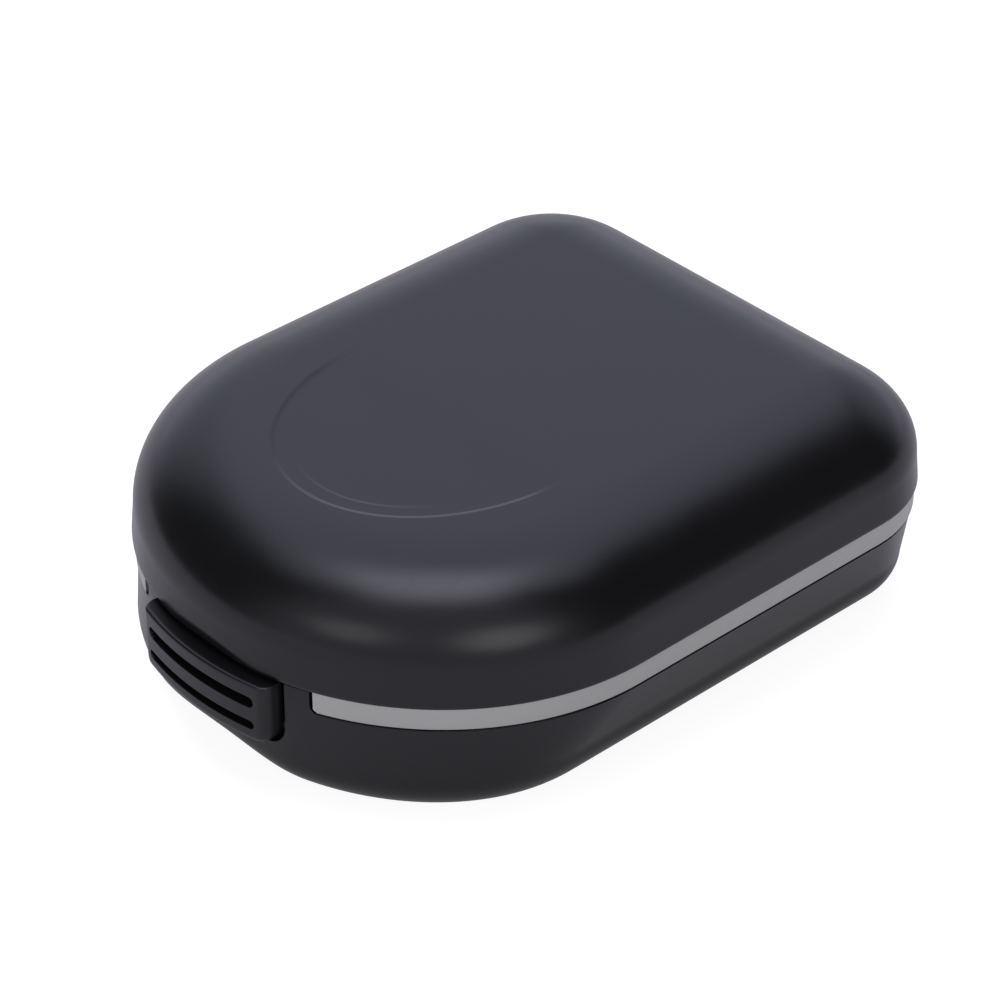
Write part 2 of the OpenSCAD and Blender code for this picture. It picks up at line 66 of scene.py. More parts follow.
def d_outline(half_w, front, back, nose, corner):
    """Corners of the D-shaped plan, clockwise from the right end of the nose."""
    middle, shoulder, flat = front + nose, back - corner, half_w - corner
    points = []
    for i in range(NOSE_STEPS):
        t = math.pi * i / NOSE_STEPS
        points.append((half_w * math.cos(t), middle - nose * math.sin(t)))
    for i in range(SIDE_STEPS):
        points.append((-half_w, middle + (shoulder - middle) * i / SIDE_STEPS))
    for i in range(CORNER_STEPS):
        t = math.pi - math.pi / 2 * i / CORNER_STEPS
        points.append((corner * math.cos(t) - flat, shoulder + corner * math.sin(t)))
    for i in range(BACK_STEPS):
        points.append((flat * (2 * i / BACK_STEPS - 1), back))
    for i in range(CORNER_STEPS):
        t = math.pi / 2 - math.pi / 2 * i / CORNER_STEPS
        points.append((flat + corner * math.cos(t), shoulder + corner * math.sin(t)))
    for i in range(SIDE_STEPS):
        points.append((half_w, shoulder + (middle - shoulder) * i / SIDE_STEPS))
    return points


def lid_outline(inset):
    return d_outline(HALF_W - inset, Y_FRONT + inset, Y_BACK - inset, NOSE - inset,
                     max(CORNER - inset, LEAST_CORNER))


def at_height(outline, z):
    return [(x, y, z) for x, y in outline]


def lid_ring(inset, z):
    return at_height(lid_outline(inset), z)


print("points in an outline:", len(lid_outline(0)))

# %% [markdown]
# ## Tools of the bench
# A moulded shell is a stack of outlines. It could be extruded and scaled ring by ring, but a grid primitive
# already has that layout: each row is laid on one outline, and the grid is welded where it meets itself. That
# gives even quads all over.

# %% Select and weld
WELD_GAP = 0.002


def start_clean():
    if bpy.context.object and bpy.context.object.mode != "OBJECT":
        bpy.ops.object.mode_set(mode="OBJECT")
    bpy.ops.object.select_all(action="DESELECT")


def make_active(piece):
    start_clean()
    piece.select_set(True)
    bpy.context.view_layer.objects.active = piece


def open_mesh(piece):
    """Opens a piece in edit mode with all of it selected."""
    make_active(piece)
    bpy.ops.object.mode_set(mode="EDIT")
    bpy.ops.mesh.select_all(action="SELECT")


def close_mesh():
    bpy.ops.object.mode_set(mode="OBJECT")


def weld(piece):
    """Joins doubled points and makes a closed piece face outwards."""
    open_mesh(piece)
    bpy.ops.mesh.remove_doubles(threshold=WELD_GAP * MM)
    bpy.ops.mesh.normals_make_consistent(inside=False)
    close_mesh()
    shell = bmesh.new()
    shell.from_mesh(piece.data)
    turned = shell.calc_volume(signed=True) < 0
    shell.free()
    if turned:
        open_mesh(piece)
        bpy.ops.mesh.flip_normals()
        close_mesh()
    return piece


# %% Lay a grid and hand a piece over


def lay_grid(name, rows):
    """A grid primitive whose rows of points are moved to their places."""
    start_clean()
    bpy.ops.mesh.primitive_grid_add(x_subdivisions=len(rows[0]) - 1, y_subdivisions=len(rows) - 1, size=1)
    piece = bpy.context.active_object
    piece.name = piece.data.name = name
    places = [c * MM for row in rows for point in row for c in point]
    piece.data.vertices.foreach_set("co", places)
    piece.data.update()
    return piece


def wrap(name, rings):
    """A grid laid on a stack of closed rings and welded where it meets itself."""
    return weld(lay_grid(name, [ring + ring[:1] for ring in rings]))


def pole(x, y, z):
    """A ring that is drawn together to one point and closes a stack."""
    return [(x, y, z)] * len(lid_outline(0))


def smooth(piece, degrees):
    make_active(piece)
    bpy.ops.object.shade_smooth_by_angle(angle=math.radians(degrees))


def settle(piece, body, slot, finish, *nodes):
    """Gives a finished piece its material and body and hides the CAD nodes it stands for; slot is not used.
    """
    piece.data.materials.clear()
    piece.data.materials.append(finish)
    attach(piece, body)
    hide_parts(*nodes)
    faces = sum(len(face.vertices) - 2 for face in piece.data.polygons)
    print(f"{piece.name}: {faces} triangles, rides on {body}")


# %% [markdown]
# ## Moulded plastic
# The shells are black ABS from a spark-eroded mould, which leaves a fine even grain: a satin face with soft
# reflections. The frame is the same plastic in mid grey with a duller face. An image could give the grain,
# but noise on Object coordinates needs no unwrapping. The real grain is finer than a tenth of a millimetre
# and would not show, so it is drawn a few times coarser.

# %% Colour and node helpers


def linear(hex_colour):
    """An sRGB hex value as linear colour."""
    shares = [int(hex_colour[i:i + 2], 16) / 255 for i in (1, 3, 5)]
    return (*[c / 12.92 if c <= 0.04045 else ((c + 0.055) / 1.055) ** 2.4 for c in shares], 1.0)


def add(tree, kind, wires=None, **settings):
    """Adds a shader node by its kind, sets it, and fills its sockets with values or with links."""
    node = tree.nodes.new("ShaderNode" + kind)
    for key, value in settings.items():
        setattr(node, key, value)
    for socket, value in (wires or {}).items():
        if isinstance(value, bpy.types.NodeSocket):
            tree.links.new(value, node.inputs[socket])
        else:
            node.inputs[socket].default_value = value
    return node


def new_finish(name):
    finish = bpy.data.materials.new(name)
    finish.use_nodes = True
    finish.node_tree.nodes.clear()
    return finish, finish.node_tree


def close_finish(finish, shader):
    add(finish.node_tree, "OutputMaterial", {"Surface": shader.outputs[0]})
    print("finish:", finish.name)
    return finish


def per_mm(size):
    """Scale of a pattern whose features are that many millimetres apart."""
    return 1 / (size * MM)


print("mid grey in linear light:", round(linear("#808080")[0], 3))

# %% Black and grey ABS
CLOUD_MM, STREAK_MM = 11, 0.9
GLOSS_SWING, MARK_DULLNESS = 0.025, 0.03


def moulded_plastic(name, dark, light, roughness, grain_mm, grain_depth):
    """Satin injection-moulded plastic: fine tool grain, faint cloudiness and hairline handling marks."""
    finish, tree = new_finish(name)
    place = add(tree, "TexCoord").outputs["Object"]
    grain = add(tree, "TexNoise",
                {"Vector": place, "Scale": per_mm(grain_mm), "Detail": 2.0, "Roughness": 0.55})
    cloud = add(tree, "TexNoise",
                {"Vector": place, "Scale": per_mm(CLOUD_MM), "Detail": 4.0, "Roughness": 0.6})
    colour = add(tree, "Mix",
                 {"Factor": cloud.outputs["Fac"], "A": linear(dark), "B": linear(light)}, data_type="RGBA")
    streak_place = add(tree, "Mapping",
                       {"Vector": place, "Rotation": (0.2, 0.1, 0.7), "Scale": (1.0, 0.05, 1.0)})
    streak = add(tree, "TexNoise",
                 {"Vector": streak_place.outputs["Vector"], "Scale": per_mm(STREAK_MM), "Detail": 3.0})
    marks = add(tree, "MapRange",
                {"Value": streak.outputs["Fac"], "From Min": 0.62, "From Max": 0.75, "To Max": MARK_DULLNESS})
    gloss = add(tree, "MapRange",
                {"Value": cloud.outputs["Fac"], "From Min": 0.3, "From Max": 0.7,
                 "To Min": roughness - GLOSS_SWING, "To Max": roughness + GLOSS_SWING})
    rough = add(tree, "Math", {0: gloss.outputs["Result"], 1: marks.outputs["Result"]}, operation="ADD")
    bump = add(tree, "Bump",
               {"Height": grain.outputs["Fac"], "Strength": 1.0, "Distance": grain_depth * MM})
    shader = add(tree, "BsdfPrincipled",
                 {"Base Color": colour.outputs["Result"], "Roughness": rough.outputs["Value"],
                  "Normal": bump.outputs["Normal"], "IOR": 1.5})
    return close_finish(finish, shader)


black_shell = moulded_plastic("black_abs_spark_grain", "#09090a", "#0e0e0f", roughness=0.25, grain_mm=0.3,
                              grain_depth=0.0016)
black_latch = moulded_plastic("black_abs_latch", "#09090a", "#0e0e0f", roughness=0.3, grain_mm=0.25,
                              grain_depth=0.0014)
grey_frame = moulded_plastic("grey_abs_frame", "#989895", "#a0a09d", roughness=0.4, grain_mm=0.25,
                             grain_depth=0.0014)

# %% [markdown]
# ## Foam and steel
# The foam is charcoal closed-cell polyethylene. A cut opens its cells, so its face is dull, with small pits:
# a cell pattern presses the pits in and darkens the colour in them, as painted shade in the pits. Pin,
# springs and screws are bright steel, drawn through a die, which leaves fine lines. Stretched noise gives
# those lines without an image.

# %% Polyethylene foam
FOAM_FINE_MM, FOAM_PATCH_MM, PIT_DEPTH = 0.35, 6, 0.25


def closed_cell_foam(name, dark, light, cell_mm):
    """Cut polyethylene foam: a skin of small open half-cells that scatters light, with painted shade in its
    pits.
    """
    finish, tree = new_finish(name)
    place = add(tree, "TexCoord").outputs["Object"]
    cells = add(tree, "TexVoronoi", {"Vector": place, "Scale": per_mm(cell_mm), "Randomness": 1.0})
    fine = add(tree, "TexNoise", {"Vector": place, "Scale": per_mm(FOAM_FINE_MM), "Detail": 3.0})
    patch = add(tree, "TexNoise", {"Vector": place, "Scale": per_mm(FOAM_PATCH_MM), "Detail": 3.0})
    # Painted shade: the colour is darker at the middle of each cell, where the pits are pressed in, and it
    # also varies in patches.
    painted_pit_shade = add(tree, "MapRange", {"Value": cells.outputs["Distance"], "From Min": 0.1, "From Max": 0.6})
    tone = add(tree, "Math", {0: painted_pit_shade.outputs["Result"], 1: patch.outputs["Fac"]}, operation="MULTIPLY")
    colour = add(tree, "Mix",
                 {"Factor": tone.outputs["Value"], "A": linear(dark), "B": linear(light)}, data_type="RGBA")
    relief = add(tree, "Math", {0: cells.outputs["Distance"], 1: fine.outputs["Fac"]}, operation="ADD")
    bump = add(tree, "Bump",
               {"Height": relief.outputs["Value"], "Strength": 0.7, "Distance": PIT_DEPTH * MM})
    shader = add(tree, "BsdfPrincipled",
                 {"Base Color": colour.outputs["Result"], "Roughness": 0.92, "Normal": bump.outputs["Normal"],
                  "Sheen Weight": 0.15, "Sheen Roughness": 0.6, "IOR": 1.45})
    return close_finish(finish, shader)


charcoal_foam = closed_cell_foam("charcoal_pe_foam", "#2c2d31", "#4a4b50", cell_mm=0.8)
grey_sheet = closed_cell_foam("grey_pe_sheet", "#3a3b3f", "#5b5c61", cell_mm=0.55)

# %% Drawn steel
LINE_MM, LINE_DEPTH, SHINIER, DULLER = 0.25, 0.004, 0.08, 0.1


def drawn_steel(name, colour, roughness):
    """Bright steel wire and bar: long drawing lines with a little gloss variation."""
    finish, tree = new_finish(name)
    place = add(tree, "TexCoord").outputs["Object"]
    lanes = add(tree, "Mapping", {"Vector": place, "Scale": (0.05, 1.0, 1.0)})
    lines = add(tree, "TexNoise",
                {"Vector": lanes.outputs["Vector"], "Scale": per_mm(LINE_MM), "Detail": 3.0})
    gloss = add(tree, "MapRange",
                {"Value": lines.outputs["Fac"], "To Min": roughness - SHINIER, "To Max": roughness + DULLER})
    bump = add(tree, "Bump", {"Height": lines.outputs["Fac"], "Strength": 0.4, "Distance": LINE_DEPTH * MM})
    shader = add(tree, "BsdfPrincipled",
                 {"Base Color": linear(colour), "Metallic": 1.0, "Roughness": gloss.outputs["Result"],
                  "Normal": bump.outputs["Normal"]})
    return close_finish(finish, shader)


bright_steel = drawn_steel("bright_drawn_steel", "#c3c5c8", roughness=0.28)

# %% [markdown]
# ## Lid shell
# The lid is one moulding: an upright wall with a thumb scoop over the latch, a roof that curves in like a
# pillow, and a plain oval dish in the top, whose bed lies deeper at the front. A subdivided box would give a
# pillow too, but not this plan. So the lid is laid as one stack of rings, from the middle of the inside, down
# the inner wall, round the rim, up the outside and into the dish.

# %% Rings of the wall and the roof
LID_WALL, LID_DRAFT, ROOF_RUN, RIM_ROUND = 2.0, 0.3, 13.5, 0.3
ROOF_STEPS, LID_STEPS = 30, 14
SCOOP_DEPTH, SCOOP_H, SCOOP_BLEND = 0.45, 1.2, 0.5


def soft_max(a, b, blend):
    """The larger of two values, with a rounded changeover."""
    near = max(0, 1 - abs(a - b) / blend)
    return max(a, b) + near * near * blend / 4


def scooped(ring, inset):
    """Sets a ring of the lid's outside back to the slanting plane of the thumb scoop."""
    points = []
    for x, y, z in ring:
        plane = Y_FRONT + inset + SCOOP_DEPTH * (1 - (z - Z_LID) / SCOOP_H)
        points.append((x, soft_max(y, plane, SCOOP_BLEND) if y < 0 else y, z))
    return points


def lid_rise(wall):
    """Rings from the foot of the wall to the edge of the flat roof, for the outside or for the inside."""
    run, rise, low = ROOF_RUN - wall, Z_TOP - Z_ROOF - wall, Z_LID + RIM_ROUND
    rings = []
    for k in range(LID_STEPS):
        share = k / LID_STEPS
        rings.append(lid_ring(wall + LID_DRAFT * share, low + (Z_ROOF - low) * share))
    for k in range(ROOF_STEPS + 1):
        t = math.pi / 2 * k / ROOF_STEPS
        inset = wall + LID_DRAFT + run * (1 - math.cos(t))
        rings.append(lid_ring(inset, Z_ROOF + rise * math.sin(t)))
    return rings


print("rings in wall and roof:", len(lid_rise(0)))

# %% Rings of the oval dish
DISH_HALF_W, DISH_HALF_L, DISH_MID, DISH_MARGIN = 17.5, 21.9, -5.7, 0.2
ROOF_SHARES = (0.3, 0.6, 0.82, 1)
# Each step of the dish's side is a way inwards from the rim and a drop.
DISH_WALL = ((-0.1, 0), (0.02, 0.01), (0.12, 0.04), (0.3, 0.1), (0.5, 0.166), (0.62, 0.194), (0.76, 0.205),
             (2.1, 0.235))
DISH_LEDGE = ((2.2, 0.008), (2.3, 0.03), (2.45, 0.067), (2.6, 0.104), (2.7, 0.118), (2.85, 0.123))
DISH_BED = (4.5, 6.5, 9, 11.5, 14)
# Wall and ledge fade in from a place along the lid, over a length towards the front.
WALL_FADE, LEDGE_FADE = (-4, 8), (-13, 14)


def between(first, second, share):
    return [tuple(a + (b - a) * share for a, b in zip(p, q)) for p, q in zip(first, second)]


def soft_step(x):
    x = min(1, max(0, x))
    return x * x * (3 - 2 * x)


def faded(y, fade):
    """The share of a drop that is left at a place: none towards the back, all of it at the front."""
    start, length = fade
    return soft_step((start - y) / length)


def oval_facing(outline, inward):
    """An oval inside the rim of the dish, whose points face the points of another outline."""
    half_w, half_l = DISH_HALF_W - inward, DISH_HALF_L - inward
    ring = []
    for x, y in outline:
        t = math.atan2((y - DISH_MID) / half_l, x / half_w)
        ring.append((half_w * math.cos(t), DISH_MID + half_l * math.sin(t)))
    return ring


def dish_rings():
    """Rings from the flat roof over the rim and the ledge to the bed, which rises to the roof at the back."""
    roof = lid_outline(LID_DRAFT + ROOF_RUN)
    margin = oval_facing(roof, -DISH_MARGIN)
    rings = [at_height(between(roof, margin, share), Z_TOP) for share in ROOF_SHARES]
    wall_drop, ledge_drop = DISH_WALL[-1][1], DISH_LEDGE[-1][1]
    steps = [(inward, drop, 0) for inward, drop in DISH_WALL]
    steps += [(inward, wall_drop, drop) for inward, drop in DISH_LEDGE]
    steps += [(inward, wall_drop, ledge_drop) for inward in DISH_BED]
    for inward, wall, ledge in steps:
        rings.append([(x, y, Z_TOP - wall * faded(y, WALL_FADE) - ledge * faded(y, LEDGE_FADE))
                      for x, y in oval_facing(roof, inward)])
    return rings + [pole(0, DISH_MID, rings[-1][0][2])]


print("rings in the dish:", len(dish_rings()))

# %% Lay the lid
RIM_KNEE, CEILING_SHARES = 0.09, (0.25, 0.5, 0.75)


def disc(ring, z, shares):
    """Rings that shrink towards the middle of a flat floor or ceiling."""
    return [[(x * s, y * s, z) for x, y, _ in ring] for s in shares]


inside = lid_rise(LID_WALL)
ceiling = Z_TOP - LID_WALL
lid_rings = [pole(0, 0, ceiling)] + disc(inside[-1], ceiling, CEILING_SHARES) + inside[::-1]
lid_rings += [lid_ring(LID_WALL, Z_LID), scooped(lid_ring(RIM_ROUND, Z_LID), RIM_ROUND)]
lid_rings += [scooped(lid_ring(RIM_KNEE, Z_LID + RIM_KNEE), RIM_KNEE)]
lid_rings += [scooped(ring, 0) for ring in lid_rise(0)] + dish_rings()
lid_skin = wrap("lid_shell_skin", lid_rings)
smooth(lid_skin, degrees=40)
settle(lid_skin, "lid", "lid_plastic", black_shell, "lid_shell")

# %% [markdown]
# ## Grey frame
# The frame under the lid is one grey moulding: a band that shows, a flange that plugs into the lid, a bar
# behind the latch with the catch tongue, and two hinge knuckles. A curve with a profile would not match the
# shells' corners, so the section is laid in rings on the same outline. Bars, bores and cutters start as a
# filled circle whose corners are moved to an outline, are extruded, and are joined or cut by Booleans.

# %% Bars, bores and Booleans


def prism(name, outline, start, end, axis):
    """A flat outline extruded along one axis; the outline gives the other two axes in their order."""
    start_clean()
    bpy.ops.mesh.primitive_circle_add(vertices=len(outline), fill_type="NGON")
    piece = bpy.context.active_object
    piece.name = piece.data.name = name
    lane = "XYZ".index(axis)
    for corner, (a, b) in zip(piece.data.vertices, outline):
        place = [a * MM, b * MM]
        place.insert(lane, start * MM)
        corner.co = place
    push = [0, 0, 0]
    push[lane] = (end - start) * MM
    open_mesh(piece)
    bpy.ops.mesh.extrude_region_move(TRANSFORM_OT_translate={"value": push})
    return weld(piece)


def box(name, low, high):
    corners = [(low[0], low[1]), (high[0], low[1]), (high[0], high[1]), (low[0], high[1])]
    return prism(name, corners, low[2], high[2], "Z")


def round_outline(a, b, radius, steps=48):
    turns = [2 * math.pi * i / steps for i in range(steps)]
    return [(a + radius * math.cos(t), b + radius * math.sin(t)) for t in turns]


def use_modifier(piece, kind, **settings):
    make_active(piece)
    modifier = piece.modifiers.new(kind.lower(), kind)
    for key, value in settings.items():
        setattr(modifier, key, value)
    bpy.ops.object.modifier_apply(modifier=modifier.name)


def ease_edges(piece, width, segments, degrees):
    """Rounds the edges that are sharper than an angle."""
    use_modifier(piece, "BEVEL", width=width * MM, segments=segments, limit_method="ANGLE",
                 angle_limit=math.radians(degrees))


def combine(piece, other, operation):
    """Cuts, adds or keeps in common, and removes the other piece."""
    use_modifier(piece, "BOOLEAN", operation=operation, object=other, solver="EXACT")
    print(piece.name, operation.lower(), other.name)
    bpy.data.objects.remove(other, do_unlink=True)
    return piece


def run_section(name, section):
    """A closed section of insets and heights, run round the plan."""
    rings = [lid_ring(inset, z) for inset, z in section]
    return wrap(name, rings + rings[:1])


# %% Hinge knuckles
AXIS_Y, AXIS_Z, BARREL_L = 42.5, 12.25, 36.0
KNUCKLE_R, KNUCKLE_L, KNUCKLE_GAP, KNUCKLES = 2.0, 6.96, 0.3, 5
KNUCKLE_EDGE, WEB_STEP, RUN_GAP = 0.2, 0.15, 0.3
BASE_INSET, BASE_WALL, BASE_FLOOR = 0.5, 2.0, 2.0
# A hair keeps two faces from lying in one plane, and a cutter reaches past what it cuts.
HAIR, PAST = 0.01, 1


def knuckle_x(k):
    return k * (KNUCKLE_L + KNUCKLE_GAP) - BARREL_L / 2


def along_hinge(name, radius, start, end):
    return prism(name, round_outline(AXIS_Y, AXIS_Z, radius), start, end, "X")


def knuckle(k, side):
    """One knuckle with the web that roots it in its wall; side is 1 for the lid and -1 for the base."""
    start, end = knuckle_x(k), knuckle_x(k) + KNUCKLE_L
    barrel = along_hinge("barrel", KNUCKLE_R, start, end)
    ease_edges(barrel, KNUCKLE_EDGE, segments=2, degrees=60)
    root, near, far = Y_BACK - BASE_INSET - BASE_WALL / 2, AXIS_Z + side * WEB_STEP, AXIS_Z + side * KNUCKLE_R
    web_side = [(root, near), (AXIS_Y, near), (AXIS_Y, far), (root, far)]
    return combine(barrel, prism("web", web_side, start + HAIR, end - HAIR, "X"), "UNION")


def clear_knuckles(piece, first):
    """Room around the other half's knuckles."""
    for k in range(first, KNUCKLES, 2):
        start = knuckle_x(k) - KNUCKLE_GAP
        relief = along_hinge("relief", KNUCKLE_R + RUN_GAP, start, start + KNUCKLE_L + 2 * KNUCKLE_GAP)
        combine(piece, relief, "DIFFERENCE")


def join_knuckles(piece, first, side, bore_r):
    """Every second knuckle, and the bore of the pin through them."""
    for k in range(first, KNUCKLES, 2):
        combine(piece, knuckle(k, side), "UNION")
    end = BARREL_L / 2 + PAST
    combine(piece, along_hinge("bore", bore_r, -end, end), "DIFFERENCE")


print("knuckles start at", [round(knuckle_x(k), 2) for k in range(KNUCKLES)])

# %% Lay the frame
BAND_IN, FRAME_IN, FLANGE_OUT, FLANGE_TOP = 0.3, 3.3, 2.3, 18.2
FRAME_EDGE, FRAME_KNEE, FRAME_LIP = 0.2, 0.06, 0.15
BLOCK_HALF_W, TOE_R, TOE_STEPS, BLOCK_GAP = 13.55, 0.9, 8, 0.55


def block_outline(gap, low, high):
    """The raised block of the base seen from the front, with a fillet at each foot."""
    half, reach, radius = BLOCK_HALF_W + gap, BLOCK_HALF_W + TOE_R, TOE_R - gap
    side = [(half, high)]
    for i in range(TOE_STEPS + 1):
        t = math.pi + math.pi / 2 * i / TOE_STEPS
        side.append((reach + radius * math.cos(t), Z_PART + TOE_R + radius * math.sin(t)))
    side.append((reach, low))
    return side + [(-x, z) for x, z in side[::-1]]


frame_section = [(BAND_IN + FRAME_EDGE, Z_BAND), (BAND_IN + FRAME_KNEE, Z_BAND + FRAME_KNEE),
                 (BAND_IN, Z_BAND + FRAME_EDGE), (BAND_IN, Z_LID), (FLANGE_OUT, Z_LID),
                 (FLANGE_OUT, FLANGE_TOP - FRAME_EDGE), (FLANGE_OUT + FRAME_EDGE, FLANGE_TOP),
                 (FRAME_IN - FRAME_EDGE, FLANGE_TOP), (FRAME_IN, FLANGE_TOP - FRAME_EDGE),
                 (FRAME_IN, Z_BAND + FRAME_LIP), (FRAME_IN - FRAME_LIP, Z_BAND)]
frame_skin = run_section("lid_frame_skin", frame_section)
gap_outline = block_outline(BLOCK_GAP, Z_BAND - PAST, Z_LID)
combine(frame_skin, prism("nose_cut", gap_outline, Y_FRONT - PAST, Y_FRONT + NOSE, "Y"), "DIFFERENCE")
clear_knuckles(frame_skin, 0)

# %% Bar and tongue of the frame
LATCH_BACK = Y_FRONT + NOSE / 3
TONGUE_FRONT, TONGUE_BACK, TONGUE_HALF_W, TONGUE_LOW, TONGUE_ROOT = 3.7, 5.1, 4.5, 9.2, 13.4
BARB_REACH, BARB_H, BARB_FACE = 0.9, 1.4, 0.47
BAR_OVERLAP, BAR_PAST, BAR_ROOM_TOP = 0.1, 2, 19
ROOM_LOW, ROOM_TOP, ROOM_DEPTH = 5, 20, 12
bar_root, bar_top, bar_half = FRAME_IN - BAR_OVERLAP, FLANGE_TOP - HAIR, BLOCK_HALF_W + BAR_PAST
bar = run_section("bar", [(TONGUE_FRONT, Z_BAND), (TONGUE_FRONT, Z_LID), (bar_root, Z_LID),
                          (bar_root, bar_top), (TONGUE_BACK, bar_top), (TONGUE_BACK, Z_BAND)])
bar_room = box("bar_room", (-bar_half, Y_FRONT, Z_BAND - PAST), (bar_half, LATCH_BACK, BAR_ROOM_TOP))
combine(bar, bar_room, "INTERSECT")
combine(frame_skin, bar, "UNION")
barb_tip, barb_top = TONGUE_BACK + BARB_REACH, TONGUE_LOW + BARB_H
tongue_side = [(0, TONGUE_ROOT), (0, TONGUE_LOW), (TONGUE_BACK, TONGUE_LOW), (barb_tip, barb_top - BARB_FACE),
               (barb_tip, barb_top), (TONGUE_BACK, barb_top), (TONGUE_BACK, TONGUE_ROOT)]
tongue = prism("tongue", [(Y_FRONT + y, z) for y, z in tongue_side], -TONGUE_HALF_W, TONGUE_HALF_W, "X")
room_back = TONGUE_FRONT + ROOM_DEPTH
room = run_section("room", [(TONGUE_FRONT, ROOM_LOW), (TONGUE_FRONT, ROOM_TOP), (room_back, ROOM_TOP),
                            (room_back, ROOM_LOW)])
combine(tongue, room, "INTERSECT")
combine(frame_skin, tongue, "UNION")

# %% Knuckles of the frame
LOOSE_BORE_R = 0.8
join_knuckles(frame_skin, 1, 1, LOOSE_BORE_R)
smooth(frame_skin, degrees=32)
settle(frame_skin, "lid", "frame_plastic", grey_frame, "lid_frame")

# %% [markdown]
# ## Base shell
# The lower shell leans in towards a rounded foot and has a raised block at the nose, with the pocket of the
# thumb piece cut into it. A hollowed box with bevels could come near, but foot and rim have different plans,
# so outside and inside are laid as one stack of rings between the two. Block, latch housing and knuckles are
# joined to it, and pocket, window and bores are cut, as a toolmaker would split the mould.

# %% Rings of the base
FOOT_HALF_W, FOOT_FRONT, FOOT_BACK, FOOT_NOSE, FOOT_CORNER = 31.2, -41.3, 40.5, 25.2, 10.2
FOOT_H, FOOT_RUN, FOOT_RELIEF, RELIEF_HALF_W = 5.0, 5.5, 1.2, 12.05
FOOT_STEPS, WALL_STEPS, RIM_SHARE = 14, 8, 0.985
RIM_EASE, FLOOR_SHARES = 0.12, (0.3, 0.6, 0.85)


def foot_outline(inset):
    """The foot's outline, which stands back a little under the latch."""
    points = d_outline(FOOT_HALF_W - inset, FOOT_FRONT + inset, FOOT_BACK - inset, FOOT_NOSE - inset,
                       max(FOOT_CORNER - inset, LEAST_CORNER))
    relief = [max(0, 1 - (x / RELIEF_HALF_W) ** 2) ** 2 if y < 0 else 0 for x, y in points]
    return [(x, y + FOOT_RELIEF * share) for (x, y), share in zip(points, relief)]


def base_rise(wall, floor, steps=WALL_STEPS):
    """Rings from the edge of the flat underside to the rim, for the outside or for an inner form."""
    run, drop = FOOT_RUN - wall, FOOT_H - floor
    rings = []
    for k in range(FOOT_STEPS, -1, -1):
        t = math.pi / 2 * k / FOOT_STEPS
        rings.append(at_height(foot_outline(wall + run * (1 - math.cos(t))), FOOT_H - drop * math.sin(t)))
    foot, rim = rings[-1], lid_ring(BASE_INSET + wall, Z_PART)
    rings += [between(foot, rim, k / steps) for k in range(1, steps)]
    return rings + [between(foot, rim, RIM_SHARE), rim]


outer, inner = base_rise(0, 0), base_rise(BASE_WALL, BASE_FLOOR)
base_rings = [pole(0, 0, 0)] + disc(outer[0], 0, FLOOR_SHARES) + outer[:-1]
base_rings += [lid_ring(BASE_INSET + RIM_EASE, Z_PART)]
base_rings += inner[::-1] + disc(inner[0], BASE_FLOOR, FLOOR_SHARES[::-1]) + [pole(0, 0, BASE_FLOOR)]
base_skin = wrap("base_shell_skin", base_rings)
clear_knuckles(base_skin, 1)
print("rings in the base:", len(base_rings))

# %% Latch housing inside the nose
POCKET_FLOOR, POCKET_BACK, HOUSING_TOP = 2.1, 3.4, 11.8
SPRING_X, SPRING_Z, CUP_R, CUP_FLOOR, CUP_WALL, CUP_BASE = 7.0, 9.6, 1.8, 4.6, 0.5, 0.9
COVER_FRONT, SCREW_X, SCREW_Z, BOSS_R = 9.45, 9.0, 5.0, 2.1
RIB_IN, RIB_OUT, CORE_WALL, CORE_STEPS = 11.55, 12.55, 1, 3


def along_nose(name, x, z, radius, start, end):
    """A rod along Y between two depths behind the lid's front."""
    return prism(name, round_outline(x, z, radius, steps=40), Y_FRONT + start, Y_FRONT + end, "Y")


core_rings = base_rise(CORE_WALL, CORE_WALL, CORE_STEPS)
core = wrap("core", [pole(0, 0, CORE_WALL)] + core_rings + [pole(0, 0, Z_PART)])
rib_back = Y_FRONT + COVER_FRONT
housing = box("ribs", (-RIB_OUT, Y_FRONT, 0), (-RIB_IN, rib_back, HOUSING_TOP))
combine(housing, box("rib", (RIB_IN, Y_FRONT, 0), (RIB_OUT, rib_back, HOUSING_TOP)), "UNION")
for side in (-1, 1):
    cup = along_nose("cup", side * SPRING_X, SPRING_Z, CUP_R + CUP_WALL, POCKET_FLOOR, CUP_FLOOR + CUP_BASE)
    combine(housing, cup, "UNION")
    combine(housing, along_nose("boss", side * SCREW_X, SCREW_Z, BOSS_R, 0, COVER_FRONT), "UNION")
combine(housing, core, "INTERSECT")
combine(base_skin, housing, "UNION")

# %% Block and knuckles of the base
BLOCK_TOP, BLOCK_SINK, BLOCK_ROUND, BLOCK_KNEE, BLOCK_PAST = 14.85, 0.1, 0.25, 0.07, 2
TIGHT_BORE_R = 0.77
block_low = Z_PART - BLOCK_SINK
block = run_section("block", [(POCKET_FLOOR, FOOT_H), (POCKET_FLOOR, block_low), (BASE_INSET, block_low),
                              (BASE_INSET, BLOCK_TOP - BLOCK_ROUND),
                              (BASE_INSET + BLOCK_KNEE, BLOCK_TOP - BLOCK_KNEE),
                              (BASE_INSET + BLOCK_ROUND, BLOCK_TOP), (POCKET_BACK, BLOCK_TOP),
                              (POCKET_BACK, FOOT_H)])
block_front = block_outline(0, FOOT_H - PAST, BLOCK_TOP + PAST)
combine(block, prism("block_room", block_front, Y_FRONT - BLOCK_PAST, LATCH_BACK, "Y"), "INTERSECT")
combine(base_skin, block, "UNION")
join_knuckles(base_skin, 0, -1, TIGHT_BORE_R)

